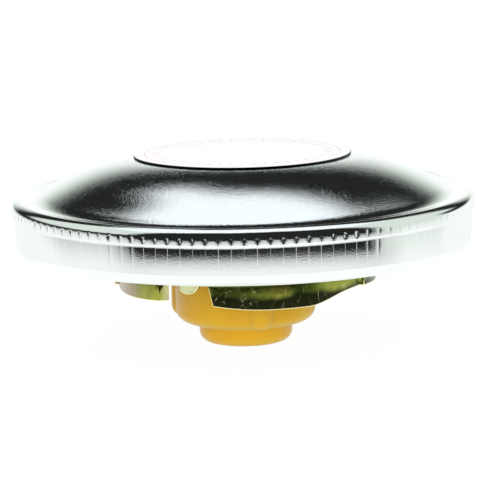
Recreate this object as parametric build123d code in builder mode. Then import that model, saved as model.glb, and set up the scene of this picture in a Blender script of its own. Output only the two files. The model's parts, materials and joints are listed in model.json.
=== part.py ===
from build123d import *
from math import cos, pi, radians, sin, tan
import os

os.makedirs("parts", exist_ok=True)

# Fuel tank cap with a chrome cover, a bayonet cam cup, a sprung neck seal and a
# two-way breather valve. Millimetres. The origin is the centre of the underside
# of the nose, +Z runs up the axis and -Y is the front. Azimuths start at the
# front and grow towards +X.

# Valve housing
nose_radius = 9.0
nose_height = 4.1
nose_edge_radius = 2.0
nose_floor = 1.6
nose_wall = 1.8
inlet_count = 6
inlet_radius = 1.2
inlet_circle_radius = 3.8
barrel_radius = 13.55
barrel_height = 22.9
barrel_edge_radius = 2.4
barrel_wall = 1.8
shoulder_thickness = 2.0
seat_bead_height = 0.5
seat_bead_width = 1.0
rib_count = 3
rib_azimuth = 12.7
rib_width = 4.6
rib_rise = 1.45
flange_overhang = 1.4
flange_thickness = 1.2
flange_chamfer = 0.3
seal_washer_thickness = 0.8
moulding_clearance = 0.2

# Lid of the housing
lid_thickness = 1.6
lid_pocket_wall = 0.8
lid_vent_radius = 1.0
lid_vent_count = 4
lid_vent_circle_radius = 4.2
lid_recess_radius = 9.0
lid_recess_depth = 0.6
lid_boss_height = 1.6
lid_boss_wall = 1.2

# Valves
seat_gap = 0.1
valve_gasket_thickness = 1.5
valve_gasket_inner_radius = 4.2
valve_gasket_rim = 0.9
plate_thickness = 1.0
plate_clearance = 0.5
plate_rim_height = 1.0
plate_rim_width = 0.8
plate_hub_height = 1.2
plate_hub_wall = 0.9
plate_notch_count = 6
plate_notch_radius = 0.9
breather_count = 4
breather_radius = 0.55
poppet_thickness = 1.2
poppet_seat_width = 1.8
stem_radius = 1.0
stem_neck_radius = 0.7
stem_clearance = 0.1
stem_head_height = 0.5
retainer_thickness = 0.9
retainer_overhang = 0.5

# Springs
pressure_spring_radius = 8.6
pressure_spring_wire = 0.9
pressure_spring_turns = 5.5
vacuum_spring_wire = 0.5
vacuum_spring_height = 4.9
vacuum_spring_turns = 3.5
spring_clearance = 0.35

# Cam cup
cup_sheet = 0.9
cup_bend_radius = 1.2
cup_hole_clearance = 0.3
cup_wall_depth = 12.2
tongue_azimuth = -29.5
tongue_width = 4.9
tongue_length = 2.1
lug_azimuth = -17.0
lug_span = 155.5
lug_count = 2
lug_reach = 2.4
lug_shelf_depth = 11.3
lug_lip_height = 5.4
lug_bend_radius = 1.1
lug_end_slant = 2.5
lug_start_lift = 0.85
lug_start_run = 32.0
lug_stop_start = 80.0
lug_stop_end = 109.0
lug_stop_rise = 0.9
lug_stop_lift = 1.0
# Lower edge of the lip, as degrees past the start of the lug and the lift of
# the edge there: level, then a run-in ramp, a raised middle and a deep tail.
lug_edge = [(36, 0), (52, 0.3), (57, 0.8), (64, 1.5), (74, 1.9), (92, 1.7), (127, 0.7), (155.5, 1.05)]

# Rivets
rivet_count = 4
rivet_azimuth = 0.0
rivet_head_radius = 1.45
rivet_head_height = 0.8
rivet_shank_radius = 0.9
rivet_margin = 0.3

# Neck seal
slide_clearance = 0.4
gasket_clearance = 1.1
gasket_width = 5.5
gasket_thickness = 2.5
gasket_edge_radius = 0.4
carrier_sheet = 0.8
carrier_rim_height = 1.2
carrier_bend_radius = 0.3
carrier_fit = 0.05
stop_tab_count = 4
stop_tab_azimuth = 45.0
stop_tab_width = 5.0
stop_tab_reach = 2.0
stop_window_height = 3.2
spring_disc_sheet = 0.5
spring_disc_height = 2.2
spring_disc_land = 2.0
spring_disc_margin = 0.6
spring_disc_slot_count = 12
spring_disc_slot_width = 1.2

# Inner shell
shell_sheet = 0.9
shell_bend_radius = 1.2
shell_inner_bend_radius = 0.3
shell_vent_radius = 2.5
shell_port_count = 4
shell_port_radius = 1.5
shell_port_inset = 2.0
pocket_clearance = 0.3

# Cover
cover_radius = 44.5
cover_sheet = 0.8
crown_rise = 9.25
crown_flat_radius = 22.0
crown_arc_radius = 39.0
brim_rise = 2.0
brim_width = 4.8
brim_fillet_radius = 3.0
brim_edge_radius = 2.2
flute_band_height = 1.45
band_lean = 8.0
flute_count = 120
flute_depth = 0.2
flute_width = 0.6
step_depth = 0.35
skirt_taper = 0.25
skirt_drop = 8.6
curl_radius = 2.3
hem_width = 2.0
hem_clearance = 0.1

# Centre disc
disc_radius = 20.9
disc_thickness = 0.4

# Heights worked out from the stack
shoulder_z = nose_height
valve_shelf_z = shoulder_z + shoulder_thickness
valve_gasket_z = valve_shelf_z + seat_bead_height + seat_gap
plate_z = valve_gasket_z + valve_gasket_thickness
plate_top_z = plate_z + plate_thickness
poppet_top_z = valve_gasket_z - seat_gap
retainer_z = plate_top_z + vacuum_spring_height
web_z = nose_height + barrel_height
flange_z = web_z + seal_washer_thickness
housing_top_z = flange_z + flange_thickness
lid_z = housing_top_z - lid_thickness
carrier_top_z = web_z - spring_disc_height - seat_gap
gasket_top_z = carrier_top_z - carrier_sheet
gasket_face_z = gasket_top_z - gasket_thickness
lug_shelf_z = web_z - lug_shelf_depth
lug_bottom_z = lug_shelf_z - lug_lip_height
skirt_bottom_z = web_z - skirt_drop
brim_z = web_z + brim_rise
crown_z = web_z + crown_rise
edge_centre_z = brim_z - brim_edge_radius
step_z = edge_centre_z - flute_band_height

# Radii worked out from the centre outward
nose_bore_radius = nose_radius - nose_wall
barrel_bore_radius = barrel_radius - barrel_wall
lid_pocket_radius = barrel_radius - lid_pocket_wall
rib_top_radius = barrel_radius + rib_rise
rib_round_radius = ((rib_width / 2) ** 2 + rib_rise**2) / (2 * rib_rise)
rib_centre_radius = rib_top_radius - rib_round_radius
flange_radius = rib_top_radius + flange_overhang
pocket_radius = flange_radius + pocket_clearance
rivet_circle_radius = pocket_radius + shell_sheet + rivet_margin + rivet_head_radius
cup_radius = rivet_circle_radius + rivet_head_radius + rivet_margin + cup_sheet
lug_radius = cup_radius + lug_reach
carrier_inner_radius = cup_radius + slide_clearance
gasket_inner_radius = lug_radius + gasket_clearance
gasket_outer_radius = gasket_inner_radius + gasket_width
skirt_top_radius = cover_radius - step_depth
skirt_bottom_radius = skirt_top_radius - skirt_taper
curl_centre_radius = skirt_bottom_radius - curl_radius
hem_radius = curl_centre_radius - hem_width
shell_flange_radius = curl_centre_radius - hem_clearance
shell_wall_radius = hem_radius - shell_bend_radius - hem_clearance
far = 2 * cover_radius


def polar(azimuth):
    """Angle from +X of an azimuth that is measured from the front."""
    return azimuth - 90


def section_plane(azimuth):
    """Upright plane through the axis, with its x pointing outward at the azimuth."""
    a = radians(polar(azimuth))
    return Plane(origin=(0, 0, 0), x_dir=(cos(a), sin(a), 0), z_dir=(sin(a), -cos(a), 0))


def facing_plane(azimuth):
    """Upright plane through the axis that looks outward at the azimuth."""
    a = radians(polar(azimuth))
    return Plane(origin=(0, 0, 0), x_dir=(-sin(a), cos(a), 0), z_dir=(cos(a), sin(a), 0))


# Cover: a drawn sheet with a flat crown, a domed shoulder, a brim, a fluted band
# and a plain skirt that ends in a curl and an inward hem.
with BuildPart() as cover:
    with BuildSketch(Plane.XZ):
        with BuildLine():
            crown = Line((0, crown_z), (crown_flat_radius, crown_z))
            dome_foot = (cover_radius - brim_width, brim_z)
            dome = RadiusArc(crown @ 1, dome_foot, crown_arc_radius)
            brim = Line(dome @ 1, (cover_radius - brim_edge_radius, brim_z))
            lean = radians(band_lean)
            edge_end = (
                cover_radius - brim_edge_radius * (1 - cos(lean)),
                edge_centre_z - brim_edge_radius * sin(lean),
            )
            edge = TangentArc(brim @ 1, edge_end, tangent=brim % 1)
            band_foot = (edge_end[0] - (edge_end[1] - step_z) * tan(lean), step_z)
            band = Line(edge @ 1, band_foot)
            step = Line(band @ 1, (skirt_top_radius, step_z))
            skirt = TangentArc(
                step @ 1, (skirt_bottom_radius, skirt_bottom_z + curl_radius), tangent=(0, -1)
            )
            curl = RadiusArc(skirt @ 1, (curl_centre_radius, skirt_bottom_z), curl_radius)
            hem = Line(curl @ 1, (hem_radius, skirt_bottom_z))
            lip = Line(hem @ 1, (hem_radius, skirt_bottom_z + cover_sheet))
            hem_top = Line(lip @ 1, (curl_centre_radius, skirt_bottom_z + cover_sheet))
            inner_curl = RadiusArc(
                hem_top @ 1,
                (skirt_bottom_radius - cover_sheet, skirt_bottom_z + curl_radius),
                -(curl_radius - cover_sheet),
            )
            inner_skirt = TangentArc(
                (skirt_top_radius - cover_sheet, step_z), inner_curl @ 1, tangent=(0, -1)
            )
            inner_brim_z = brim_z - cover_sheet
            inner_corner = Line(inner_skirt @ 0, (skirt_top_radius - cover_sheet, inner_brim_z))
            inner_foot = (cover_radius - brim_width - cover_sheet / 2, inner_brim_z)
            inner_brim = Line(inner_corner @ 1, inner_foot)
            inner_dome = RadiusArc(
                inner_brim @ 1,
                (crown_flat_radius, crown_z - cover_sheet),
                -(crown_arc_radius - cover_sheet),
            )
            Polyline(inner_dome @ 1, (0, crown_z - cover_sheet), (0, crown_z))
        make_face()
        outer_foot = vertices().sort_by_distance((*dome_foot, 0))[0]
        fillet(outer_foot, brim_fillet_radius)
        under_foot = vertices().sort_by_distance((*inner_foot, 0))[0]
        fillet(under_foot, brim_fillet_radius + cover_sheet)
        under_corner = vertices().sort_by_distance((*(inner_corner @ 1),))[0]
        fillet(under_corner, brim_edge_radius - cover_sheet)
    revolve(axis=Axis.Z)
    with BuildSketch(Plane.XY.offset(step_z)):
        with PolarLocations(cover_radius, flute_count):
            Polygon((0, flute_width / 2), (-flute_depth, 0), (0, -flute_width / 2), align=None)
    extrude(amount=brim_edge_radius + flute_band_height, mode=Mode.SUBTRACT)
cover.part.label = "cover"
export_step(cover.part, "parts/cover.step")


# Centre disc: a thin plate stuck on the flat of the crown.
with BuildPart() as centre_disc:
    with BuildSketch(Plane.XY.offset(crown_z)):
        Circle(disc_radius)
    extrude(amount=disc_thickness)
    chamfer(centre_disc.faces().sort_by(Axis.Z)[-1].edges(), disc_thickness / 4)
centre_disc.part.label = "centre_disc"
export_step(centre_disc.part, "parts/centre_disc.step")


# Inner shell: a pressed dish with a pocket for the housing's flange in its web,
# a deep wall round the filler neck and a flange that rests on the cover's hem.
with BuildPart() as inner_shell:
    with BuildSketch(Plane.XZ):
        with BuildLine():
            FilletPolyline(
                (shell_vent_radius, housing_top_z),
                (pocket_radius, housing_top_z),
                (pocket_radius, web_z),
                (shell_wall_radius, web_z),
                (shell_wall_radius, skirt_bottom_z + cover_sheet),
                (shell_flange_radius, skirt_bottom_z + cover_sheet),
                radius=(
                    shell_inner_bend_radius,
                    shell_bend_radius,
                    shell_inner_bend_radius,
                    shell_bend_radius,
                ),
            )
            offset(amount=shell_sheet, side=Side.LEFT)
        make_face()
    revolve(axis=Axis.Z)
    with BuildSketch(Plane.XY.offset(web_z)):
        with PolarLocations(rivet_circle_radius, rivet_count, start_angle=polar(rivet_azimuth)):
            Circle(rivet_shank_radius)
        with PolarLocations(
            shell_wall_radius - shell_port_radius - shell_port_inset,
            shell_port_count,
            start_angle=polar(rivet_azimuth),
        ):
            Circle(shell_port_radius)
    extrude(amount=shell_sheet, mode=Mode.SUBTRACT)
inner_shell.part.label = "inner_shell"
export_step(inner_shell.part, "parts/inner_shell.step")


# Cam cup: a pressed cup, keyed to the housing's ribs, with lanced stop tabs for
# the seal carrier, two rounded tongues and two long bayonet lugs at its mouth.
with BuildPart() as cam_cup:
    with BuildSketch(Plane.XZ):
        with BuildLine():
            FilletPolyline(
                (barrel_radius + cup_hole_clearance, web_z),
                (cup_radius, web_z),
                (cup_radius, web_z - cup_wall_depth - tongue_length),
                radius=cup_bend_radius,
            )
            offset(amount=cup_sheet, side=Side.RIGHT)
        make_face()
    revolve(axis=Axis.Z)
    with BuildSketch(Plane.XY.offset(web_z)):
        with PolarLocations(rib_centre_radius, rib_count, start_angle=polar(rib_azimuth)):
            Circle(rib_round_radius + cup_hole_clearance)
        with PolarLocations(rivet_circle_radius, rivet_count, start_angle=polar(rivet_azimuth)):
            Circle(rivet_shank_radius)
    extrude(amount=-cup_sheet, mode=Mode.SUBTRACT)
    mouth_z = web_z - cup_wall_depth
    with BuildSketch(facing_plane(tongue_azimuth)):
        with Locations((0, mouth_z)):
            Rectangle(far, far, align=(Align.CENTER, Align.MAX))
        with Locations((0, mouth_z - tongue_length + tongue_width / 2)):
            Circle(tongue_width / 2, mode=Mode.SUBTRACT)
            Rectangle(
                tongue_width, far, align=(Align.CENTER, Align.MIN), mode=Mode.SUBTRACT
            )
    extrude(amount=far, both=True, mode=Mode.SUBTRACT)
    tab_top_z = gasket_top_z - seat_gap
    for tab in range(stop_tab_count):
        azimuth = stop_tab_azimuth + tab * 360 / stop_tab_count
        with BuildSketch(facing_plane(azimuth)):
            with Locations((0, tab_top_z - cup_sheet)):
                Rectangle(stop_tab_width, stop_window_height, align=(Align.CENTER, Align.MAX))
        extrude(amount=far, mode=Mode.SUBTRACT)
        with BuildSketch(facing_plane(azimuth).offset(cup_radius - cup_sheet / 2)):
            with Locations((0, tab_top_z)):
                Rectangle(stop_tab_width, cup_sheet, align=(Align.CENTER, Align.MAX))
        extrude(amount=stop_tab_reach + cup_sheet / 2)
    for lug in range(lug_count):
        azimuth = lug_azimuth + lug * 360 / lug_count
        with BuildSketch(section_plane(azimuth)):
            with BuildLine():
                FilletPolyline(
                    (cup_radius - cup_sheet / 2, lug_shelf_z),
                    (lug_radius, lug_shelf_z),
                    (lug_radius, lug_bottom_z),
                    radius=lug_bend_radius,
                )
                offset(amount=cup_sheet, side=Side.RIGHT)
            make_face()
        revolve(axis=Axis.Z, revolution_arc=lug_span)
        with BuildSketch(section_plane(azimuth + lug_stop_start)):
            with Locations((lug_radius - cup_sheet, lug_shelf_z)):
                Rectangle(
                    cup_sheet + lug_stop_rise,
                    lug_lip_height - lug_stop_lift,
                    align=(Align.MIN, Align.MAX),
                )
        revolve(axis=Axis.Z, revolution_arc=lug_stop_end - lug_stop_start)
        flap_arc = cup_sheet / lug_radius * 180 / pi
        with BuildSketch(section_plane(azimuth + lug_span - flap_arc)):
            with Locations((cup_radius - cup_sheet / 2, lug_shelf_z)):
                Rectangle(lug_reach, lug_lip_height, align=(Align.MIN, Align.MAX))
        revolve(axis=Axis.Z, revolution_arc=flap_arc)
        with BuildSketch(facing_plane(azimuth + 90)):
            with BuildLine():
                rim = Spline(
                    [
                        (lug_radius * sin(radians(turn - 90)), lug_bottom_z + lift)
                        for turn, lift in lug_edge
                    ]
                )
                Polyline(
                    rim @ 1,
                    (far, (rim @ 1).Y),
                    (far, lug_bottom_z - lug_lip_height),
                    ((rim @ 0).X, lug_bottom_z - lug_lip_height),
                    rim @ 0,
                )
            make_face()
        extrude(amount=far, mode=Mode.SUBTRACT)
        with BuildSketch(facing_plane(azimuth)):
            slant = lug_radius * sin(radians(lug_end_slant))
            corner = (slant, lug_bottom_z + lug_start_lift)
            foot = (lug_radius * sin(radians(lug_start_run)), lug_bottom_z)
            with BuildLine():
                TangentArc(foot, corner, tangent=(-1, 0))
                Polyline(
                    corner,
                    (0, lug_shelf_z),
                    (-slant, lug_shelf_z),
                    (-slant, lug_bottom_z - lug_lip_height),
                    (foot[0], lug_bottom_z - lug_lip_height),
                    foot,
                )
            make_face()
        extrude(amount=far, mode=Mode.SUBTRACT)
cam_cup.part.label = "cam_cup"
export_step(cam_cup.part, "parts/cam_cup.step")


# Rivets: solid rivets that clamp the cup's web under the inner shell's web.
for index in range(rivet_count):
    turn = radians(polar(rivet_azimuth + index * 360 / rivet_count))
    place = Plane(origin=(rivet_circle_radius * cos(turn), rivet_circle_radius * sin(turn), 0))
    with BuildPart() as rivet:
        with BuildSketch(place.offset(web_z - cup_sheet - rivet_head_height)):
            Circle(rivet_head_radius)
        extrude(amount=rivet_head_height)
        with BuildSketch(place.offset(web_z - cup_sheet)):
            Circle(rivet_shank_radius)
        extrude(amount=cup_sheet + shell_sheet)
        with BuildSketch(place.offset(web_z + shell_sheet)):
            Circle(rivet_head_radius)
        extrude(amount=rivet_head_height)
        ends = rivet.faces().sort_by(Axis.Z)
        fillet(ends[0].edges() + ends[-1].edges(), rivet_head_height / 2)
    name = f"rivet_{index + 1}"
    rivet.part.label = name
    export_step(rivet.part, f"parts/{name}.step")


# Spring disc: a dished ring of sprung sheet, slotted from its rim, that bears on
# the inner shell's web with its inner land and on the seal carrier with its rim.
with BuildPart() as spring_disc:
    disc_inner_radius = cup_radius + 2 * slide_clearance
    disc_outer_radius = gasket_outer_radius - spring_disc_margin
    with BuildSketch(Plane.XZ):
        with BuildLine():
            FilletPolyline(
                (disc_inner_radius, web_z),
                (disc_inner_radius + spring_disc_land, web_z),
                (disc_outer_radius, carrier_top_z + seat_gap + spring_disc_sheet),
                radius=spring_disc_land,
            )
            offset(amount=spring_disc_sheet, side=Side.RIGHT)
        make_face()
    revolve(axis=Axis.Z)
    with BuildSketch(Plane.XY.offset(web_z - spring_disc_height)):
        with PolarLocations(disc_outer_radius, spring_disc_slot_count):
            SlotOverall(disc_outer_radius - disc_inner_radius - spring_disc_land, spring_disc_slot_width)
    extrude(amount=spring_disc_height, mode=Mode.SUBTRACT)
spring_disc.part.label = "spring_disc"
export_step(spring_disc.part, "parts/spring_disc.step")


# Seal carrier: a pressed ring with a turned-down rim round the gasket.
with BuildPart() as seal_carrier:
    carrier_pocket_radius = gasket_outer_radius + carrier_fit
    with BuildSketch(Plane.XZ):
        with BuildLine():
            FilletPolyline(
                (carrier_inner_radius, gasket_top_z),
                (carrier_pocket_radius, gasket_top_z),
                (carrier_pocket_radius, gasket_top_z - carrier_rim_height),
                radius=carrier_bend_radius,
            )
            offset(amount=carrier_sheet, side=Side.LEFT)
        make_face()
    revolve(axis=Axis.Z)
seal_carrier.part.label = "seal_carrier"
export_step(seal_carrier.part, "parts/seal_carrier.step")


# Neck gasket: a plain rubber ring with rounded edges.
with BuildPart() as neck_gasket:
    with BuildSketch(Plane.XY.offset(gasket_face_z)):
        Circle(gasket_outer_radius)
        Circle(gasket_inner_radius, mode=Mode.SUBTRACT)
    extrude(amount=gasket_thickness)
    fillet(neck_gasket.edges(), gasket_edge_radius)
neck_gasket.part.label = "neck_gasket"
export_step(neck_gasket.part, "parts/neck_gasket.step")


# Valve housing: a stepped moulding with three half round ribs, a flange at its
# top, a pocket for the lid, a raised valve seat and inlet holes in its nose.
with BuildPart() as valve_housing:
    with BuildSketch(Plane.XY):
        Circle(nose_radius)
    extrude(amount=nose_height + shoulder_thickness / 2)
    fillet(valve_housing.faces().sort_by(Axis.Z)[0].edges(), nose_edge_radius)
    with BuildSketch(Plane.XZ):
        with BuildLine():
            FilletPolyline(
                (0, shoulder_z),
                (barrel_radius, shoulder_z),
                (barrel_radius, web_z),
                radius=barrel_edge_radius,
            )
            Polyline((barrel_radius, web_z), (0, web_z), (0, shoulder_z))
        make_face()
    revolve(axis=Axis.Z)
    for rib in range(rib_count):
        turn = radians(polar(rib_azimuth + rib * 360 / rib_count))
        centre = (rib_centre_radius * cos(turn), rib_centre_radius * sin(turn))
        with BuildSketch(Plane(origin=(*centre, 0), x_dir=(1, 0, 0), z_dir=(0, -1, 0))):
            with BuildLine():
                FilletPolyline(
                    (0, shoulder_z),
                    (rib_round_radius, shoulder_z),
                    (rib_round_radius, flange_z),
                    radius=barrel_edge_radius,
                )
                Polyline((rib_round_radius, flange_z), (0, flange_z), (0, shoulder_z))
            make_face()
        revolve(axis=Axis((*centre, 0), (0, 0, 1)))
    with BuildSketch(Plane.XY.offset(web_z)):
        Circle(barrel_radius)
    extrude(amount=seal_washer_thickness)
    with BuildSketch(Plane.XY.offset(flange_z)):
        Circle(flange_radius)
    extrude(amount=flange_thickness)
    chamfer(valve_housing.faces().sort_by(Axis.Z)[-1].edges(), flange_chamfer)
    with BuildSketch(Plane.XZ):
        Polygon(
            (0, nose_floor),
            (nose_bore_radius, nose_floor),
            (nose_bore_radius, valve_shelf_z + seat_bead_height),
            (nose_bore_radius + seat_bead_width, valve_shelf_z + seat_bead_height),
            (nose_bore_radius + seat_bead_width, valve_shelf_z),
            (barrel_bore_radius, valve_shelf_z),
            (barrel_bore_radius, lid_z),
            (lid_pocket_radius, lid_z),
            (lid_pocket_radius, housing_top_z),
            (0, housing_top_z),
            align=None,
        )
    revolve(axis=Axis.Z, mode=Mode.SUBTRACT)
    with BuildSketch(Plane.XY):
        with PolarLocations(inlet_circle_radius, inlet_count):
            Circle(inlet_radius)
    extrude(amount=nose_floor, mode=Mode.SUBTRACT)
valve_housing.part.label = "valve_housing"
export_step(valve_housing.part, "parts/valve_housing.step")


# Housing seal: a flat rubber washer between the flange and the cup's web.
with BuildPart() as housing_seal:
    with BuildSketch(Plane.XY.offset(web_z)):
        Circle(flange_radius)
        Circle(rib_top_radius + stem_clearance, mode=Mode.SUBTRACT)
    extrude(amount=seal_washer_thickness)
housing_seal.part.label = "housing_seal"
export_step(housing_seal.part, "parts/housing_seal.step")


# Housing lid: a moulded disc with a recess and vents on top and a boss below
# that centres the pressure spring.
with BuildPart() as housing_lid:
    lid_boss_radius = pressure_spring_radius - pressure_spring_wire / 2 - spring_clearance
    with BuildSketch(Plane.XY.offset(lid_z)):
        Circle(lid_pocket_radius - moulding_clearance)
    extrude(amount=lid_thickness)
    with BuildSketch(Plane.XY.offset(lid_z - lid_boss_height)):
        Circle(lid_boss_radius)
        Circle(lid_boss_radius - lid_boss_wall, mode=Mode.SUBTRACT)
    extrude(amount=lid_boss_height)
    with BuildSketch(Plane.XY.offset(housing_top_z)):
        Circle(lid_recess_radius)
    extrude(amount=-lid_recess_depth, mode=Mode.SUBTRACT)
    with BuildSketch(Plane.XY.offset(lid_z)):
        with PolarLocations(lid_vent_circle_radius, lid_vent_count):
            Circle(lid_vent_radius)
    extrude(amount=lid_thickness, mode=Mode.SUBTRACT)
housing_lid.part.label = "housing_lid"
export_step(housing_lid.part, "parts/housing_lid.step")


# Pressure valve plate: a notched disc with a rim that centres the spring and a
# hub that guides the poppet's stem.
hub_bore_radius = stem_radius + stem_clearance
hub_radius = hub_bore_radius + plate_hub_wall
plate_radius = barrel_bore_radius - plate_clearance
with BuildPart() as pressure_valve_plate:
    rim_radius = pressure_spring_radius + pressure_spring_wire / 2 + spring_clearance
    with BuildSketch(Plane.XY.offset(plate_z)):
        Circle(plate_radius)
        with PolarLocations(plate_radius, plate_notch_count):
            Circle(plate_notch_radius, mode=Mode.SUBTRACT)
        with PolarLocations(valve_gasket_inner_radius - breather_radius, breather_count):
            Circle(breather_radius, mode=Mode.SUBTRACT)
        Circle(hub_bore_radius, mode=Mode.SUBTRACT)
    extrude(amount=plate_thickness)
    with BuildSketch(Plane.XY.offset(plate_top_z)):
        Circle(rim_radius + plate_rim_width)
        Circle(rim_radius, mode=Mode.SUBTRACT)
    extrude(amount=plate_rim_height)
    with BuildSketch(Plane.XY.offset(plate_top_z)):
        Circle(hub_radius)
        Circle(hub_bore_radius, mode=Mode.SUBTRACT)
    extrude(amount=plate_hub_height)
pressure_valve_plate.part.label = "pressure_valve_plate"
export_step(pressure_valve_plate.part, "parts/pressure_valve_plate.step")


# Pressure valve gasket: the rubber disc under the plate. Its outer part shuts on
# the housing's seat and its inner edge is the seat of the vacuum valve.
with BuildPart() as pressure_valve_gasket:
    with BuildSketch(Plane.XY.offset(valve_gasket_z)):
        Circle(plate_radius - valve_gasket_rim - plate_notch_radius / 2)
        Circle(valve_gasket_inner_radius, mode=Mode.SUBTRACT)
    extrude(amount=valve_gasket_thickness)
pressure_valve_gasket.part.label = "pressure_valve_gasket"
export_step(pressure_valve_gasket.part, "parts/pressure_valve_gasket.step")


# Vacuum valve: a poppet with a stem that passes up through the gasket and the
# plate's hub, and a peened head that holds the spring's retainer.
with BuildPart() as vacuum_valve:
    with BuildSketch(Plane.XZ):
        Polygon(
            (0, poppet_top_z - poppet_thickness),
            (valve_gasket_inner_radius + poppet_seat_width, poppet_top_z - poppet_thickness),
            (valve_gasket_inner_radius + poppet_seat_width, poppet_top_z),
            (stem_radius, poppet_top_z),
            (stem_radius, retainer_z),
            (stem_neck_radius, retainer_z),
            (stem_neck_radius, retainer_z + retainer_thickness),
            (stem_radius, retainer_z + retainer_thickness),
            (stem_neck_radius, retainer_z + retainer_thickness + stem_head_height),
            (0, retainer_z + retainer_thickness + stem_head_height),
            align=None,
        )
    revolve(axis=Axis.Z)
vacuum_valve.part.label = "vacuum_valve"
export_step(vacuum_valve.part, "parts/vacuum_valve.step")


# Vacuum spring retainer: a collar on the neck of the poppet's stem.
vacuum_spring_radius = hub_radius + spring_clearance + vacuum_spring_wire / 2
with BuildPart() as vacuum_spring_retainer:
    with BuildSketch(Plane.XY.offset(retainer_z)):
        Circle(vacuum_spring_radius + vacuum_spring_wire / 2 + retainer_overhang)
        Circle(stem_neck_radius, mode=Mode.SUBTRACT)
    extrude(amount=retainer_thickness)
vacuum_spring_retainer.part.label = "vacuum_spring_retainer"
export_step(vacuum_spring_retainer.part, "parts/vacuum_spring_retainer.step")


# Coil springs with ground ends. Both stand on the plate, and each reaches up to
# its own seat: the lid for the large one, the retainer for the small one.
coils = {
    "pressure_spring": (pressure_spring_radius, pressure_spring_wire, pressure_spring_turns, lid_z),
    "vacuum_spring": (vacuum_spring_radius, vacuum_spring_wire, vacuum_spring_turns, retainer_z),
}
for name, (radius, wire, turns, seat_z) in coils.items():
    with BuildPart() as spring:
        with BuildLine():
            rise = seat_z - plate_top_z
            coil = Helix(pitch=rise / turns, height=rise, radius=radius, center=(0, 0, plate_top_z))
        with BuildSketch(Plane(origin=coil @ 0, z_dir=coil % 0)):
            RegularPolygon(wire / 2 * 1.03, 8)
        sweep(is_frenet=True)
        split(bisect_by=Plane.XY.offset(plate_top_z), keep=Keep.TOP)
        split(bisect_by=Plane.XY.offset(seat_z), keep=Keep.BOTTOM)
    spring.part.label = name
    export_step(spring.part, f"parts/{name}.step")
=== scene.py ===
# %% [markdown]
# # A chrome fuel tank cap in a light tent
#
# The cap is a chrome plated drawn cover over a yellow zinc plated cam cup, with
# a stepped yellow valve housing in its middle. The construction comes in as a
# fixed frame, one object for each piece, in metres, with +Z up and the front at
# -Y. This lesson gives the pieces their finish, rebuilds the ones that need a
# finer surface, and lights the cap as a photographer of shiny things would.

# %% Load the frame
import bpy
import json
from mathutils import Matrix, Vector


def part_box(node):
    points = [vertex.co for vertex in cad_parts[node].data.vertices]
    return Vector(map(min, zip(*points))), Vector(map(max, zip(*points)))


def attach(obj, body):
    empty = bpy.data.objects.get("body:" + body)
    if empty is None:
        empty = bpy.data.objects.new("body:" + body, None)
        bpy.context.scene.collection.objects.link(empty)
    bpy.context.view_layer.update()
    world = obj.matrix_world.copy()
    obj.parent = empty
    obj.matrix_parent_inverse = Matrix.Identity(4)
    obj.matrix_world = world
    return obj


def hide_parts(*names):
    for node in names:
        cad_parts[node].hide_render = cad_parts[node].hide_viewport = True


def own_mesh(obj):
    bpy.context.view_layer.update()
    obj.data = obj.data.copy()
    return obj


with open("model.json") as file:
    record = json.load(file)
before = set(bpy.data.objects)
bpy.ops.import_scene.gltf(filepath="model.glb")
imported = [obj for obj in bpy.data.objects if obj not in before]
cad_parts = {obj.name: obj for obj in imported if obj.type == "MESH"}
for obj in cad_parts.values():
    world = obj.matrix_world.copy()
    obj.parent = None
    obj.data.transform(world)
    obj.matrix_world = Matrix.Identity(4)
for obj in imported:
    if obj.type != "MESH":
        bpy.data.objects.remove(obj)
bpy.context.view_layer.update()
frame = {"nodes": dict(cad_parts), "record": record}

import json
import random
from math import atan2, cos, degrees, hypot, pi, radians, sin, sqrt, tan

import bmesh
import bpy
from mathutils import Matrix, Quaternion, Vector

mm = 0.001
nodes = frame["nodes"]
print("pieces in the frame:", len(nodes))

# %% [markdown]
# ## The camera
#
# The photograph looks at the front of the cap from a little above the brim,
# with a long lens, so the ellipses are flat and there is little perspective. A
# camera could be placed by eye. Here it stands at a distance and a height that
# give the ellipses their width, it aims at a point on the axis, and a small
# shift of the lens puts that point on its own pixel of the picture. A slight
# roll follows the tilt of the rim in the photograph.

# %% Place the camera
picture_width = 480
sensor_width = 36.0
camera_place = Vector((0, -500 * mm, 106.19 * mm))
aim = Vector((0, 0, 18 * mm))
aim_pixel = Vector((244.31, 247.52))
pixels_per_mm = 5.17
camera_roll = radians(1.25)

sight = aim - camera_place
lens = bpy.data.cameras.new("camera")
lens.sensor_width = sensor_width
lens.lens = sensor_width * pixels_per_mm * sight.length / mm / picture_width
lens.shift_x = (picture_width / 2 - aim_pixel.x) / picture_width
lens.shift_y = (aim_pixel.y - picture_width / 2) / picture_width
camera = bpy.data.objects.new("camera", lens)
camera.location = camera_place
camera.rotation_mode = "QUATERNION"
camera.rotation_quaternion = sight.to_track_quat("-Z", "Y") @ Quaternion((0, 0, 1), -camera_roll)
bpy.context.scene.collection.objects.link(camera)
bpy.context.scene.camera = camera
bpy.context.scene.view_settings.view_transform = "Standard"
print("lens", round(lens.lens, 1), "mm")

# %% [markdown]
# ## A short way to write shader nodes
#
# A node can be made in the editor by hand. In code each one takes a line for
# its kind, one for every socket and one for every link. The helpers below take
# the kind, the sockets and the settings at once: a socket gets a number, a
# colour, or the output of another node, which they link.

# %% Node helpers
def fill(tree, socket, value):
    """Links a socket to the output of another node, or gives it a plain value."""
    if isinstance(value, bpy.types.NodeSocket):
        tree.links.new(value, socket)
    else:
        socket.default_value = value


def add(tree, kind, sockets=None, **settings):
    """Adds a shader node, sets its settings and fills or links its sockets."""
    made = tree.nodes.new("ShaderNode" + kind)
    for name, value in settings.items():
        setattr(made, name, value)
    for name, value in (sockets or {}).items():
        fill(tree, made.inputs[name], value)
    return made


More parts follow.
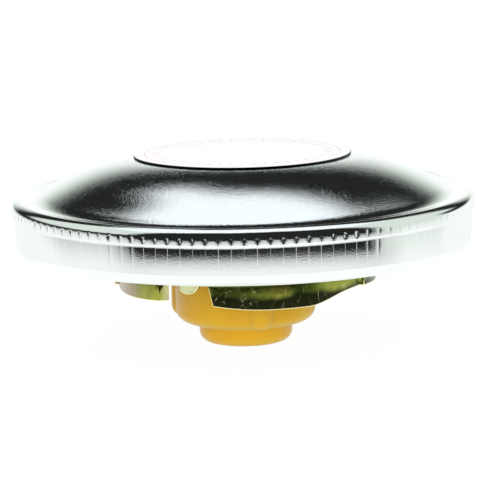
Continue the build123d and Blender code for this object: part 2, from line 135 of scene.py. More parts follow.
def calc(tree, operation, *values):
    """The output of a Math node."""
    return add(tree, "Math", dict(enumerate(values)), operation=operation).outputs[0]


def product(tree, first, *others):
    """All the values or outputs multiplied."""
    for other in others:
        first = calc(tree, "MULTIPLY", first, other)
    return first


def smooth_step(tree, value, low, high, start=0.0, end=1.0):
    """Runs smoothly from start to end while the value goes from low to high."""
    sockets = {"Value": value, "From Min": low, "From Max": high, "To Min": start, "To Max": end}
    return add(tree, "MapRange", sockets, interpolation_type="SMOOTHSTEP").outputs["Result"]


def ramp(tree, value, *stops):
    """A colour ramp with stops given as (position, colour)."""
    made = add(tree, "ValToRGB", {"Fac": value})
    band = made.color_ramp
    while len(band.elements) < len(stops):
        band.elements.new(1.0)
    for element, (position, colour) in zip(band.elements, stops):
        element.position = position
        element.color = (*colour, 1)
    return made.outputs["Color"]


def mix(tree, factor, first, second):
    """The colour between two colours or colour outputs."""
    made = add(tree, "Mix", data_type="RGBA")
    fill(tree, made.inputs["Factor"], factor)
    colours = [socket for socket in made.inputs if socket.type == "RGBA"]
    for socket, value in zip(colours, (first, second)):
        fill(tree, socket, value if isinstance(value, bpy.types.NodeSocket) else (*value, 1))
    return next(socket for socket in made.outputs if socket.type == "RGBA")


def new_group(name, inputs, outputs):
    """An empty shader node group. Inputs are (name, kind, value), outputs (name, kind)."""
    tree = bpy.data.node_groups.new(name, "ShaderNodeTree")
    for label, kind, value in inputs:
        socket = tree.interface.new_socket(label, in_out="INPUT", socket_type="NodeSocket" + kind)
        if value is not None:
            socket.default_value = value
    for label, kind in outputs:
        tree.interface.new_socket(label, in_out="OUTPUT", socket_type="NodeSocket" + kind)
    return tree, tree.nodes.new("NodeGroupInput").outputs, tree.nodes.new("NodeGroupOutput").inputs


def use(tree, group, sockets):
    """Places a node group in a tree and returns its outputs."""
    return add(tree, "Group", sockets, node_tree=group).outputs


print("helpers: fill, add, calc, product, smooth_step, ramp, mix, new_group, use")

# %% [markdown]
# ## The light tent
#
# Polished chrome has almost no colour of its own: it shows the room. The room
# in the photograph can be read off the cover, because each point of a turned
# shape mirrors one direction: a white table, a low white backdrop behind the
# cap with darkness above it, a white ceiling, a bright wall on each side with a
# dark gap under it, and dark space round the camera. Such a tent could be built
# from cards around the cap. Here the world holds it, drawn by direction,
# because the cap is small and the cards would be far away. Only glossy rays see
# it. The camera sees plain white, and diffuse surfaces get an even level, at
# which a colour renders about as it is written.

# %% A panel of the tent
panel, given, made = new_group(
    "tent panel",
    [(label, "Float", 0.0) for label in ("Across", "Up", "Left", "Right", "Bottom", "Top", "Soft")],
    [("Mask", "Float")],
)
outside = calc(panel, "MULTIPLY", given["Soft"], -1.0)
sides = []
for value, low, high in (("Across", "Left", "Right"), ("Up", "Bottom", "Top")):
    for edge, sense in ((low, 1), (high, -1)):
        inside = calc(panel, "MULTIPLY", calc(panel, "SUBTRACT", given[value], given[edge]), sense)
        sides.append(smooth_step(panel, inside, outside, given["Soft"]))
panel.links.new(product(panel, *sides), made["Mask"])
print("nodes in a panel:", len(panel.nodes))

# %% Directions in the tent
# Around is degrees round from the back (+Y), plus to the right. Up is degrees
# above the table. A pair of numbers is where a smooth change starts and ends.
dark_room = (0.018, 0.020, 0.018)

world = bpy.data.worlds.new("light tent")
world.use_nodes = True
world.cycles.sampling_method = "NONE"
bpy.context.scene.world = world
tree = world.node_tree
tree.nodes.clear()
way = add(tree, "SeparateXYZ", {0: add(tree, "TexCoord").outputs["Generated"]}).outputs
to_degrees = degrees(1)
up = calc(tree, "MULTIPLY", calc(tree, "ARCSINE", way["Z"]), to_degrees)
around = calc(tree, "MULTIPLY", calc(tree, "ARCTAN2", way["X"], way["Y"]), to_degrees)
aside = calc(tree, "ABSOLUTE", around)
on_left = smooth_step(tree, around, 10.0, -10.0)


def between(left, right, bottom, top, soft):
    """The mask of a panel between two directions round and two heights."""
    edges = {"Left": left, "Right": right, "Bottom": bottom, "Top": top, "Soft": soft}
    return use(tree, panel, {"Across": around, "Up": up, **edges})["Mask"]


def blend(share, first, second):
    """Goes from the first value to the second as the share goes from 0 to 1."""
    return calc(tree, "MULTIPLY_ADD", share, calc(tree, "SUBTRACT", second, first), first)


print("nodes that find the direction:", len(tree.nodes))

# %% The white table
# It ends at a height, softly. Both differ on the right, on the left and in
# front, where the table also dims before it ends.
table_white = (0.98, 1.02, 0.99)
middle_white = (1.07, 1.10, 1.09)
right_end, right_soft = 7.0, 3.5
left_turn, left_end, left_soft = (40.0, 85.0), (-1.0, -8.0), (6.0, 11.0)
front_end, front_soft = -14.7, 1.7
front_starts_right, front_starts_left, front_turn = 90.0, 105.0, 25.0
front_dim_up, front_dim = (-21.5, -14.0), (0.0, 0.42)
near_up = (-18.5, -24.5)

front_starts = blend(on_left, front_starts_right, front_starts_left)
before = smooth_step(tree, calc(tree, "SUBTRACT", aside, front_starts), 0.0, front_turn)
side_end = blend(on_left, right_end, smooth_step(tree, aside, *left_turn, *left_end))
side_soft = blend(on_left, right_soft, smooth_step(tree, aside, *left_turn, *left_soft))
table_end = blend(before, side_end, front_end)
table_soft = blend(before, side_soft, front_soft)
below_end = calc(tree, "SUBTRACT", table_end, up)
table = smooth_step(tree, below_end, calc(tree, "MULTIPLY", table_soft, -1.0), table_soft)
dimmed = product(tree, before, smooth_step(tree, up, *front_dim_up, *front_dim))
table = product(tree, table, calc(tree, "SUBTRACT", 1.0, dimmed))
table_colour = mix(tree, smooth_step(tree, up, *near_up), table_white, middle_white)
print("nodes with the table:", len(tree.nodes))

# %% The backdrop
# A bright patch straight behind, greyer toward its top, with a dark gap under
# its ends and the brightest strip of table in front of it.
backdrop_white = (0.90, 0.97, 0.92)
backdrop_grey = (0.58, 0.65, 0.60)
backdrop_sides, backdrop_top, backdrop_greys = (33.0, 14.0), (26.0, 18.5), (8.0, 22.0)
gap_sides, gap_up = (12.0, 30.0), (0.0, 7.0)
middle_strip = (-12.0, 12.0, -40.0, 15.0, 7.0)

gap = blend(smooth_step(tree, aside, *gap_sides), 1.0, smooth_step(tree, up, *gap_up))
backdrop = product(tree, smooth_step(tree, aside, *backdrop_sides), smooth_step(tree, up, *backdrop_top), gap)
backdrop_colour = mix(tree, smooth_step(tree, up, *backdrop_greys), backdrop_white, backdrop_grey)
print("nodes with the backdrop:", len(tree.nodes))

# %% The ceiling and the walls
# The ceiling starts higher over the camera than over the backdrop, a little
# higher on the right, and lower in one patch. A panel is its left, right,
# bottom and top, and the softness of its edges.
ceiling_white = (1.00, 1.07, 1.11)
wall_white = (0.74, 0.82, 0.77)
ceiling_turn, ceiling_start, ceiling_soft = (105.0, 150.0), (55.0, 71.0), 3.0
right_lift_turn, right_lift = (4.0, 22.0), (0.0, 1.5)
low_ceiling = (-25.0, -9.0, 45.5, 65.0, 3.0)
left_wall = (-122.0, -45.0, 13.5, 90.0, 5.0)
right_wall = (45.0, 113.0, 19.0, 90.0, 4.5)
right_wall_foot = (64.0, 113.0, -12.0, 30.0, 6.0)
far_corner, far_corner_share = (36.0, 58.0, 33.0, 46.0, 5.0), 0.4

ceiling_end = smooth_step(tree, aside, *ceiling_turn, *ceiling_start)
ceiling_end = calc(tree, "ADD", ceiling_end, smooth_step(tree, around, *right_lift_turn, *right_lift))
ceiling = smooth_step(tree, calc(tree, "SUBTRACT", up, ceiling_end), -ceiling_soft, ceiling_soft)
ceiling = calc(tree, "MAXIMUM", ceiling, between(*low_ceiling))
walls = calc(tree, "MAXIMUM", between(*left_wall), between(*right_wall))
walls = calc(tree, "MAXIMUM", walls, between(*right_wall_foot))
walls = calc(tree, "MAXIMUM", walls, product(tree, between(*far_corner), far_corner_share))
print("nodes with the ceiling and the walls:", len(tree.nodes))

# %% Hang the tent
even_level = 0.88
tent = mix(tree, table, dark_room, table_colour)
tent = mix(tree, backdrop, tent, backdrop_colour)
tent = mix(tree, between(*middle_strip), tent, middle_white)
tent = mix(tree, walls, tent, wall_white)
tent = mix(tree, ceiling, tent, ceiling_white)

ray = add(tree, "LightPath").outputs
shiny = calc(tree, "MAXIMUM", ray["Is Glossy Ray"], ray["Is Transmission Ray"])
seen = mix(tree, shiny, (even_level, even_level, even_level), tent)
seen = mix(tree, ray["Is Camera Ray"], seen, (1, 1, 1))
sky = add(tree, "Background", {"Color": seen, "Strength": 1.0})
tree.links.new(sky.outputs[0], add(tree, "OutputWorld").inputs["Surface"])
print("world nodes:", len(tree.nodes))

# %% [markdown]
# ## Two soft lamps
#
# Diffuse surfaces don't see the tent. An even world alone would light them
# flat, without a shadow. One large lamp overhead gives the soft shadow on the
# table. The cover shades the housing from above, so a low wide lamp in front
# lights it up to the same plain level, and most at the lower rims, as in the
# photograph. Both stay out of reflections, where the tent holds every light.

# %% Place the lamps
def soft_lamp(name, width, depth, level, place, target=None):
    """A wide lamp that no mirror shows. It faces down, or at a target."""
    lamp = bpy.data.lights.new(name, "AREA")
    lamp.shape = "RECTANGLE"
    lamp.size, lamp.size_y = width, depth
    lamp.energy = level * pi * width * depth
    made = bpy.data.objects.new(name, lamp)
    made.location = place
    if target is not None:
        made.rotation_mode = "QUATERNION"
        made.rotation_quaternion = (target - place).to_track_quat("-Z", "Y")
    made.visible_glossy = False
    made.visible_camera = False
    bpy.context.scene.collection.objects.link(made)
    print(name, "watts:", round(lamp.energy, 2))


soft_lamp("overhead lamp", 0.5, 0.5, level=1.1, place=Vector((-0.02, 0.09, 0.55)))
soft_lamp("front lamp", 0.40, 0.16, level=3.2, place=Vector((0, -0.45, 0.10)), target=aim)

# %% [markdown]
# ## The table
#
# The cap stands on white paper that runs on out of sight. A lit plane would
# turn grey at its edges. Here camera rays see mostly an even white, and a share
# of the lit surface keeps the soft shadow under the cap. Glossy rays pass the
# plane by and see the tent.

# %% Lay the table
table_size = 6.0
table_z = -0.02 * mm
shadow_share = 0.06
paper_colour = (0.9, 0.9, 0.9, 1)
paper_glow = 1.03
bm = bmesh.new()
bmesh.ops.create_grid(bm, x_segments=1, y_segments=1, size=table_size / 2,
                      matrix=Matrix.Translation((0, 0, table_z)))
floor_mesh = bpy.data.meshes.new("floor")
bm.to_mesh(floor_mesh)
bm.free()
floor = bpy.data.objects.new("floor", floor_mesh)
bpy.context.scene.collection.objects.link(floor)
floor.visible_glossy = False

paper = bpy.data.materials.new("white table")
paper.use_nodes = True
tree = paper.node_tree
tree.nodes.clear()
lit = add(tree, "BsdfDiffuse", {"Color": paper_colour})
glow = add(tree, "Emission", {"Color": (1, 1, 1, 1), "Strength": paper_glow})
only_lit = calc(tree, "SUBTRACT", 1.0, add(tree, "LightPath").outputs["Is Camera Ray"])
share = calc(tree, "MAXIMUM", only_lit, shadow_share)
both = add(tree, "MixShader", {0: share, 1: glow.outputs[0], 2: lit.outputs[0]})
tree.links.new(both.outputs[0], add(tree, "OutputMaterial").inputs["Surface"])
floor_mesh.materials.append(paper)
print("table:", table_size, "m across")

# %% [markdown]
# ## Effects that several finishes share
#
# Plated sheet is never a mirror: the steel under the chrome has a fine pebbled
# grain, fingers leave soft patches, and tools leave fine rings. The same effect
# shows on more than one piece, at another size and strength, so each is a node
# group that puts out a height or a mask. A picture of a surface would be
# quicker, but it would have an edge and one size, and noise has neither.

# %% Pebbled grain
wide_share = 0.22
grain, given, made = new_group(
    "pebbled grain",
    [("Vector", "Vector", None), ("Scale", "Float", 2000.0), ("Coarse", "Float", 0.3)],
    [("Height", "Float")],
)
fine = add(grain, "TexNoise", {"Vector": given["Vector"], "Scale": given["Scale"], "Detail": 0.6})
wide_scale = product(grain, given["Scale"], wide_share)
wide = add(grain, "TexNoise", {"Vector": given["Vector"], "Scale": wide_scale, "Detail": 1.0})
fine_height = product(grain, fine.outputs[0], calc(grain, "SUBTRACT", 1.0, given["Coarse"]))
wide_height = product(grain, wide.outputs[0], given["Coarse"])
grain.links.new(calc(grain, "ADD", fine_height, wide_height), made["Height"])
print("nodes in the grain:", len(grain.nodes))

# %% Soft patches
patches, given, made = new_group(
    "soft patches",
    [("Vector", "Vector", None), ("Scale", "Float", 80.0), ("Low", "Float", 0.4), ("High", "Float", 0.65)],
    [("Mask", "Float")],
)
cloud = add(patches, "TexNoise", {
    "Vector": given["Vector"], "Scale": given["Scale"], "Detail": 5.0, "Distortion": 0.6,
})
patches.links.new(smooth_step(patches, cloud.outputs[0], given["Low"], given["High"]), made["Mask"])
print("nodes in the patches:", len(patches.nodes))

# %% Turned rings
rings, given, made = new_group(
    "turned rings",
    [("Vector", "Vector", None), ("Scale", "Float", 3000.0)],
    [("Height", "Float"), ("Radius", "Float")],
)
flat_place = add(rings, "VectorMath", {0: given["Vector"], 1: (1, 1, 0)}, operation="MULTIPLY")
radius = add(rings, "VectorMath", {0: flat_place.outputs[0]}, operation="LENGTH").outputs["Value"]
line = add(rings, "TexNoise", {"W": radius, "Scale": given["Scale"], "Detail": 3.0}, noise_dimensions="1D")
rings.links.new(line.outputs[0], made["Height"])
rings.links.new(radius, made["Radius"])
print("nodes in the rings:", len(rings.nodes))

# %% Fine scratches
widest_scratch = 0.02
scratches, given, made = new_group(
    "fine scratches",
    [("Vector", "Vector", None), ("Scale", "Float", 300.0), ("Stretch", "Vector", (1, 8, 1)),
     ("Amount", "Float", 0.5)],
    [("Mask", "Float")],
)
pulled = add(scratches, "VectorMath", {0: given["Vector"], 1: given["Stretch"]}, operation="MULTIPLY")
warp = add(scratches, "TexNoise", {
    "Vector": pulled.outputs[0], "Scale": given["Scale"], "Detail": 6.0, "Distortion": 1.2,
})
distance = calc(scratches, "ABSOLUTE", calc(scratches, "SUBTRACT", warp.outputs[0], 0.5))
reach = product(scratches, given["Amount"], widest_scratch)
scratches.links.new(smooth_step(scratches, distance, reach, 0.0), made["Mask"])
print("node groups:", [g.name for g in bpy.data.node_groups])

# %% [markdown]
# ## Finishes
#
# Every finish is a material of its own with one Principled shader. What is the
# same all over the surface is a plain number on the shader. What changes over
# the surface comes from the groups above, by way of base colour, roughness or a
# bump. All of them read object coordinates, which here are metres in the
# frame, so a grain of half a millimetre is half a millimetre on every piece.

# %% A material to fill
def finish(name, **constants):
    """A material with a Principled shader. Returns it with its tree, shader and coordinates."""
    material = bpy.data.materials.new(name)
    material.use_nodes = True
    tree = material.node_tree
    tree.nodes.clear()
    shader = add(tree, "BsdfPrincipled")
    for socket, value in constants.items():
        shader.inputs[socket.replace("_", " ")].default_value = value
    tree.links.new(shader.outputs[0], add(tree, "OutputMaterial").inputs["Surface"])
    return material, tree, shader, add(tree, "TexCoord").outputs["Object"]


def feed(tree, shader, **sources):
    """Links outputs to sockets of the shader, named with _ for a space."""
    for socket, source in sources.items():
        tree.links.new(source, shader.inputs[socket.replace("_", " ")])


def bump(tree, height, depth):
    """A bump of a depth in metres."""
    return add(tree, "Bump", {"Height": height, "Distance": depth, "Strength": 1.0}).outputs["Normal"]


print("helpers: finish, feed, bump")


# %% [markdown]
# ### Bright chrome
#
# Plating follows the drawn sheet under it, so the mirror breaks up into a fine
# sparkle where light meets dark. The drawing stretches the dome most, so the
# grain is strongest there and fades to the tight bend at the edge. The base
# colour stays near white and soft patches change the roughness a little, as
# wiped chrome shows. The creases in the sheet are painted near black as painted
# shade in the nicks, and the traces below them are worn dull. The finish reads
# a mask for each of them that the mesh brings with it.

# %% Chrome
chrome_tints = (0.89, 0.905, 0.895), (0.93, 0.94, 0.935)
chrome_roughness = (0.05, 0.08)
# Painted shade in the nicks of the pleats, laid on by the crease mask.
crease_painted_shade = (0.03, 0.03, 0.03)
pebble_depth = 0.032 * mm
edge_radius, dome_foot_radius = 41.5 * mm, 38.5 * mm
edge_stretch = 0.2

chrome, tree, shader, place = finish("bright chrome")
clean = use(tree, patches, {"Vector": place, "Scale": 45.0, "Low": 0.35, "High": 0.7})["Mask"]
pebble = use(tree, grain, {"Vector": place, "Scale": 4200.0, "Coarse": 0.08})["Height"]
from_axis = use(tree, rings, {"Vector": place})["Radius"]
stretched = smooth_step(tree, from_axis, edge_radius, dome_foot_radius, edge_stretch, 1.0)
crease = add(tree, "Attribute", attribute_name="crease").outputs["Fac"]
scuff = add(tree, "Attribute", attribute_name="scuff").outputs["Fac"]
feed(tree, shader, Base_Color=mix(tree, crease, mix(tree, clean, *chrome_tints), crease_painted_shade),
     Metallic=calc(tree, "SUBTRACT", 1.0, scuff),
     Roughness=smooth_step(tree, clean, 0.0, 1.0, *chrome_roughness),
     Normal=bump(tree, product(tree, pebble, stretched), pebble_depth))
print("chrome nodes:", len(tree.nodes))

# %% [markdown]
# ### The disc on the crown
#
# A thin white plate with a faint red print. The print here is plain: a ring
# and a row of short dashes like those round a dial, worked out from the
# distance to the axis and the turn round it. The rim of the plate is a near
# black metal, painted shade that shows as a fine dark line against the chrome.

# %% White plate with a dial of dashes
disc_low, disc_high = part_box("centre_disc")
disc_radius = disc_high.x
print_red = (0.72, 0.42, 0.38)
plate_white = (0.95, 0.95, 0.945)
# Painted shade: the rim of the plate is drawn near black as the dark line at its edge.
rim_painted_shade = (0.015, 0.015, 0.015)
plate_roughness = (0.34, 0.46)
ring_radius = 0.90 * disc_radius
dash_reach = 1.6 * mm
dash_row_radius = ring_radius - 1.4 * dash_reach
dash_count = 48
dash_ends = (0.12, 0.09)
line_width = 0.16 * mm
print_left = 0.8
rim_start, rim_end = disc_radius - 0.12 * mm, disc_radius - 0.03 * mm

white_plate, tree, shader, place = finish("white printed plate", Specular_IOR_Level=0.4)
parts = add(tree, "SeparateXYZ", {0: place}).outputs
from_axis = use(tree, rings, {"Vector": place, "Scale": 900.0})["Radius"]
off_ring = calc(tree, "ABSOLUTE", calc(tree, "SUBTRACT", from_axis, ring_radius))
ring = smooth_step(tree, off_ring, line_width, line_width / 2)
turn = calc(tree, "ARCTAN2", parts["X"], parts["Y"])
within = calc(tree, "PINGPONG", product(tree, turn, dash_count / (2 * pi)), 0.5)
off_row = calc(tree, "ABSOLUTE", calc(tree, "SUBTRACT", from_axis, dash_row_radius))
row = smooth_step(tree, off_row, dash_reach / 2, dash_reach / 2 - line_width)
dashes = product(tree, smooth_step(tree, within, *dash_ends), row)
worn = use(tree, patches, {"Vector": place, "Scale": 420.0, "Low": 0.3, "High": 0.6})["Mask"]
printed = product(tree, calc(tree, "MAXIMUM", ring, dashes), product(tree, worn, print_left))
face = smooth_step(tree, from_axis, rim_end, rim_start)
white = mix(tree, printed, plate_white, print_red)
handled = use(tree, patches, {"Vector": place, "Scale": 60.0, "Low": 0.3, "High": 0.8})["Mask"]
texture = use(tree, grain, {"Vector": place, "Scale": 1500.0, "Coarse": 0.5})["Height"]
feed(tree, shader, Base_Color=mix(tree, face, rim_painted_shade, white),
     Metallic=calc(tree, "SUBTRACT", 1.0, face),
     Roughness=smooth_step(tree, handled, 0.0, 1.0, *plate_roughness),
     Normal=bump(tree, texture, 0.006 * mm))
print("plate nodes:", len(tree.nodes))

# %% [markdown]
# ### Yellow zinc
#
# Zinc plate dipped in chromate has a thin clear film whose colour drifts from
# olive to yellow to a pinkish grey as its thickness changes. The film follows
# the way the bath drained, so its colour comes from a slow noise, and a finer
# one mottles it. Cut edges get a painted highlight from a mask that the mesh
# brings with it, and the lower part of a lug gets painted shade.

# %% Zinc plate
# A pair is where a change starts and where it is full.
far_side, far_share = (-18.5 * mm, -22.5 * mm), 0.8
left_side, left_lift = (-8 * mm, -16 * mm), 3.5 * mm
tongue_highlight_right, tongue_highlight_left = (-8 * mm, -9.5 * mm), (-16 * mm, -14 * mm)
tongue_highlight_front, tongue_highlight_share = (-10 * mm, -14 * mm), 0.7
# The line below which a lug gets painted shade wanders this far and fades over this height.
shade_line_wander, shade_line_soft = 4 * mm, 1.7 * mm
spot_share, mark_share, mark_depth = 0.5, 0.8, 0.5
sheet_depth = 0.02 * mm


def zinc(name, film, mottle, edge_highlight_tint, roughness, shade_line_z, painted_shade_tint, far_tint, scratch_and_highlight_tint):
    """Zinc plate with a film that drifts through colours, and painted shade below a wandering line."""
    material, tree, shader, place = finish(name, Metallic=1.0)
    parts = add(tree, "SeparateXYZ", {0: place}).outputs
    drift = add(tree, "TexNoise", {"Vector": place, "Scale": 90.0, "Detail": 3.0, "Distortion": 0.8})
    spots = use(tree, patches, {"Vector": place, "Scale": 700.0, "Low": 0.42, "High": 0.72})["Mask"]
    colour = mix(tree, product(tree, spots, spot_share), ramp(tree, drift.outputs[0], *film), mottle)

    # The film is thicker at the far left end, and a tongue on the left gets a painted highlight in the
    # scratch colour.
    thick = product(tree, smooth_step(tree, parts["X"], *far_side), far_share)
    colour = mix(tree, thick, colour, far_tint)
    tongue_highlight = product(tree, smooth_step(tree, parts["X"], *tongue_highlight_right),
                     smooth_step(tree, parts["X"], *tongue_highlight_left),
                     smooth_step(tree, parts["Y"], *tongue_highlight_front, 0.0, tongue_highlight_share))
    colour = mix(tree, tongue_highlight, colour, scratch_and_highlight_tint)

    # Painted shade darkens a lug below a line that wanders, and on the left the line lies lower.
    height = calc(tree, "ADD", parts["Z"], smooth_step(tree, parts["X"], *left_side, 0.0, left_lift))
    height = calc(tree, "ADD", height, product(tree, drift.outputs[0], shade_line_wander))
    colour = mix(tree, smooth_step(tree, height, shade_line_z, shade_line_z + shade_line_soft), painted_shade_tint, colour)

    marks = use(tree, scratches, {
        "Vector": place, "Scale": 310.0, "Stretch": (1, 1, 0.5), "Amount": 0.45,
    })["Mask"]
    colour = mix(tree, product(tree, marks, product(tree, spots, mark_share)), colour, scratch_and_highlight_tint)
    # Painted highlight on the cut edges, from the mask of the bevel faces.
    edge = add(tree, "Attribute", attribute_name="edge").outputs["Fac"]
    colour = mix(tree, edge, colour, edge_highlight_tint)
    dull = use(tree, patches, {"Vector": place, "Scale": 260.0, "Low": 0.3, "High": 0.7})["Mask"]
    sheet = use(tree, grain, {"Vector": place, "Scale": 1800.0, "Coarse": 0.6})["Height"]
    dents = calc(tree, "SUBTRACT", sheet, product(tree, marks, mark_depth))
    feed(tree, shader, Base_Color=colour, Roughness=smooth_step(tree, dull, 0.0, 1.0, *roughness),
         Normal=bump(tree, dents, sheet_depth))
    print(name, "nodes:", len(tree.nodes))
    return material


# %% Yellow and bright zinc
yellow_zinc = zinc(
    "yellow zinc plate",
    film=[(0.30, (0.06, 0.11, 0.015)), (0.44, (0.13, 0.20, 0.03)), (0.56, (0.25, 0.29, 0.045)),
          (0.68, (0.40, 0.38, 0.07)), (0.80, (0.12, 0.22, 0.04))],
    mottle=(0.36, 0.38, 0.09), edge_highlight_tint=(0.95, 0.86, 0.42), roughness=(0.14, 0.26),
    shade_line_z=14.3 * mm, painted_shade_tint=(0.016, 0.018, 0.006), far_tint=(0.46, 0.33, 0.28),
    scratch_and_highlight_tint=(0.80, 0.82, 0.52),
)
bright_zinc = zinc(
    "bright zinc plate",
    film=[(0.30, (0.52, 0.53, 0.52)), (0.50, (0.64, 0.65, 0.64)), (0.70, (0.60, 0.60, 0.57))],
    mottle=(0.74, 0.75, 0.74), edge_highlight_tint=(0.80, 0.80, 0.78), roughness=(0.26, 0.42),
    shade_line_z=-20 * mm, painted_shade_tint=(0.40, 0.40, 0.39), far_tint=(0.60, 0.60, 0.58),
    scratch_and_highlight_tint=(0.80, 0.80, 0.79),
)

# %% [markdown]
# ### Moulded yellow plastic
#
# The housing is an unpainted moulding of a waxy, slightly translucent plastic.
# A little subsurface light softens it, the mould's fine grain scatters the
# gloss, and dust in the resin varies the colour. More of that light would blur
# the edges. The rounded lower rims get a paler yellow by their height: painted
# light, where light from below would brighten them.

# %% Amber plastic
amber_tints = (0.90, 0.50, 0.032), (0.96, 0.58, 0.045)
# Painted light on the rounded lower rims of the nose and the barrel.
rim_painted_light = (1.0, 0.68, 0.08)
speck_brown, speck_share = (0.42, 0.20, 0.03), 0.35
nose_rim, barrel_rim, barrel_foot_z = (1.9 * mm, 0.2 * mm), (5.9 * mm, 4.2 * mm), 3.4 * mm
amber_roughness = (0.30, 0.42)

amber, tree, shader, place = finish(
    "amber moulded plastic", IOR=1.48, Specular_Tint=(1.0, 0.78, 0.30, 1.0),
    Subsurface_Weight=0.25, Subsurface_Scale=1.2 * mm, Subsurface_Radius=(1.0, 0.55, 0.18),
)
flow = use(tree, patches, {"Vector": place, "Scale": 70.0, "Low": 0.25, "High": 0.8})["Mask"]
specks = use(tree, patches, {"Vector": place, "Scale": 1600.0, "Low": 0.66, "High": 0.74})["Mask"]
height = add(tree, "SeparateXYZ", {0: place}).outputs["Z"]
in_barrel_rim = product(tree, smooth_step(tree, height, *barrel_rim),
                        calc(tree, "GREATER_THAN", height, barrel_foot_z))
in_rim = calc(tree, "MAXIMUM", smooth_step(tree, height, *nose_rim), in_barrel_rim)
colour = mix(tree, in_rim, mix(tree, flow, *amber_tints), rim_painted_light)
colour = mix(tree, product(tree, specks, speck_share), colour, speck_brown)
mould = use(tree, grain, {"Vector": place, "Scale": 1700.0, "Coarse": 0.4})["Height"]
feed(tree, shader, Base_Color=colour, Roughness=smooth_step(tree, flow, 0.0, 1.0, *amber_roughness),
     Normal=bump(tree, mould, 0.010 * mm))
print("amber nodes:", len(tree.nodes))

# %% [markdown]
# ### Pieces that only show when the cap is opened
#
# The seals are black rubber, the lid is black nylon, the springs are oiled
# steel and the valves are turned brass. Each could be one flat colour. A bloom
# of dust, a moulded grain and the rings of a tool cost little and keep them
# from looking like paint.

# %% Rubber and nylon
bloom_share = 0.5


def dark_moulding(name, colour, pale, roughness, size, depth):
    """Black rubber or nylon with a moulded grain and a pale bloom of dust."""
    material, tree, shader, place = finish(name)
    bloom = use(tree, patches, {"Vector": place, "Scale": 150.0, "Low": 0.4, "High": 0.8})["Mask"]
    skin = use(tree, grain, {"Vector": place, "Scale": size, "Coarse": 0.4})["Height"]
    feed(tree, shader, Base_Color=mix(tree, product(tree, bloom, bloom_share), colour, pale),
         Roughness=smooth_step(tree, bloom, 0.0, 1.0, *roughness), Normal=bump(tree, skin, depth))
    print(name, "nodes:", len(tree.nodes))
    return material


rubber = dark_moulding(
    "black nitrile rubber", colour=(0.022, 0.022, 0.024), pale=(0.07, 0.07, 0.068),
    roughness=(0.48, 0.66), size=1400.0, depth=0.03 * mm,
)
nylon = dark_moulding(
    "black nylon", colour=(0.05, 0.05, 0.05), pale=(0.10, 0.10, 0.098),
    roughness=(0.36, 0.5), size=2200.0, depth=0.015 * mm,
)


# %% Spring steel and brass
def turned_metal(name, light, dark, roughness, ring_scale, depth):
    """Bare metal with tool rings round the axis and darker handled patches."""
    material, tree, shader, place = finish(name, Metallic=1.0)
    oiled = use(tree, patches, {"Vector": place, "Scale": 200.0, "Low": 0.35, "High": 0.7})["Mask"]
    turned = use(tree, rings, {"Vector": place, "Scale": ring_scale})["Height"]
    feed(tree, shader, Base_Color=mix(tree, oiled, light, dark),
         Roughness=smooth_step(tree, oiled, 0.0, 1.0, *roughness), Normal=bump(tree, turned, depth))
    print(name, "nodes:", len(tree.nodes))
    return material


spring_steel = turned_metal(
    "oiled spring steel", light=(0.44, 0.43, 0.41), dark=(0.30, 0.29, 0.27),
    roughness=(0.24, 0.38), ring_scale=1800.0, depth=0.004 * mm,
)
brass = turned_metal(
    "turned brass", light=(0.76, 0.60, 0.30), dark=(0.60, 0.44, 0.20),
    roughness=(0.18, 0.32), ring_scale=3200.0, depth=0.008 * mm,
)

# %% [markdown]
# ## Dress the pieces
#
# Each piece of the frame has a slot with the name of what it is made of. The
# frame's record says which, so one table from slot to finish dresses them all,
# and no piece is forgotten.

# %% Give every piece its finish
finish_of_slot = {
    "chrome": chrome, "disc_white": white_plate, "zinc_yellow": yellow_zinc,
    "zinc_bright": bright_zinc, "spring_steel": spring_steel, "rubber_black": rubber,
    "housing_plastic": amber, "lid_plastic": nylon, "valve_brass": brass,
}
slot_of = {part["node"]: part["material_slot"] for part in frame["record"]["subparts"]}
for node, slot_name in slot_of.items():
    for slot in nodes[node].material_slots:
        slot.material = finish_of_slot[slot_name]
print("finishes:", len(finish_of_slot), "on", len(slot_of), "pieces")

# %% [markdown]
# ## Pieces with a finer surface
#
# The frame's own meshes have the right shape, but a mirror shows every facet,
# and a pressed edge is never quite sharp. The pieces below are made again with
# finer steps or rounder edges, in the same place, and stand for the frame's
# piece.

# %% Turn a bmesh into a piece
merge_distance = 0.0005 * mm


def piece(bm, name, material, body, stands_for, sharp=35):
    """Closes the bmesh, shades it smooth up to an angle and hands it to the frame."""
    bmesh.ops.remove_doubles(bm, verts=bm.verts, dist=merge_distance)
    bmesh.ops.recalc_face_normals(bm, faces=bm.faces)
    for face in bm.faces:
        face.smooth = True
    mesh = bpy.data.meshes.new(name)
    bm.to_mesh(mesh)
    bm.free()
    mesh.set_sharp_from_angle(angle=radians(sharp))
    mesh.materials.append(material)
    made = bpy.data.objects.new(name, mesh)
    bpy.context.scene.collection.objects.link(made)
    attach(made, body)
    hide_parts(stands_for)
    triangles = sum(len(face.vertices) - 2 for face in mesh.polygons)
    print(name, "triangles:", triangles)
    return made


def turn_profile(bm, steps):
    """Turns everything in the bmesh once round the Z axis."""
    bmesh.ops.spin(bm, geom=bm.verts[:] + bm.edges[:], cent=(0, 0, 0), axis=(0, 0, 1), dvec=(0, 0, 0),
                   angle=2 * pi, steps=steps, use_merge=True, use_duplicate=False)


print("helpers: piece, turn_profile")

# %% [markdown]
# ### The chrome cover
#
# One drawn sheet: a flat crown, a domed shoulder, a flat brim, a rounded edge
# with a row of short pleats from the press, a step and a skirt that curls
# inward under the cap. It could be cut from a subdivided cylinder. It is a
# turned shape, so a half section is drawn once as a chain of corners, the
# corners that the press rounds are bevelled, and the chain is turned round the
# axis in steps that divide the pleats evenly.

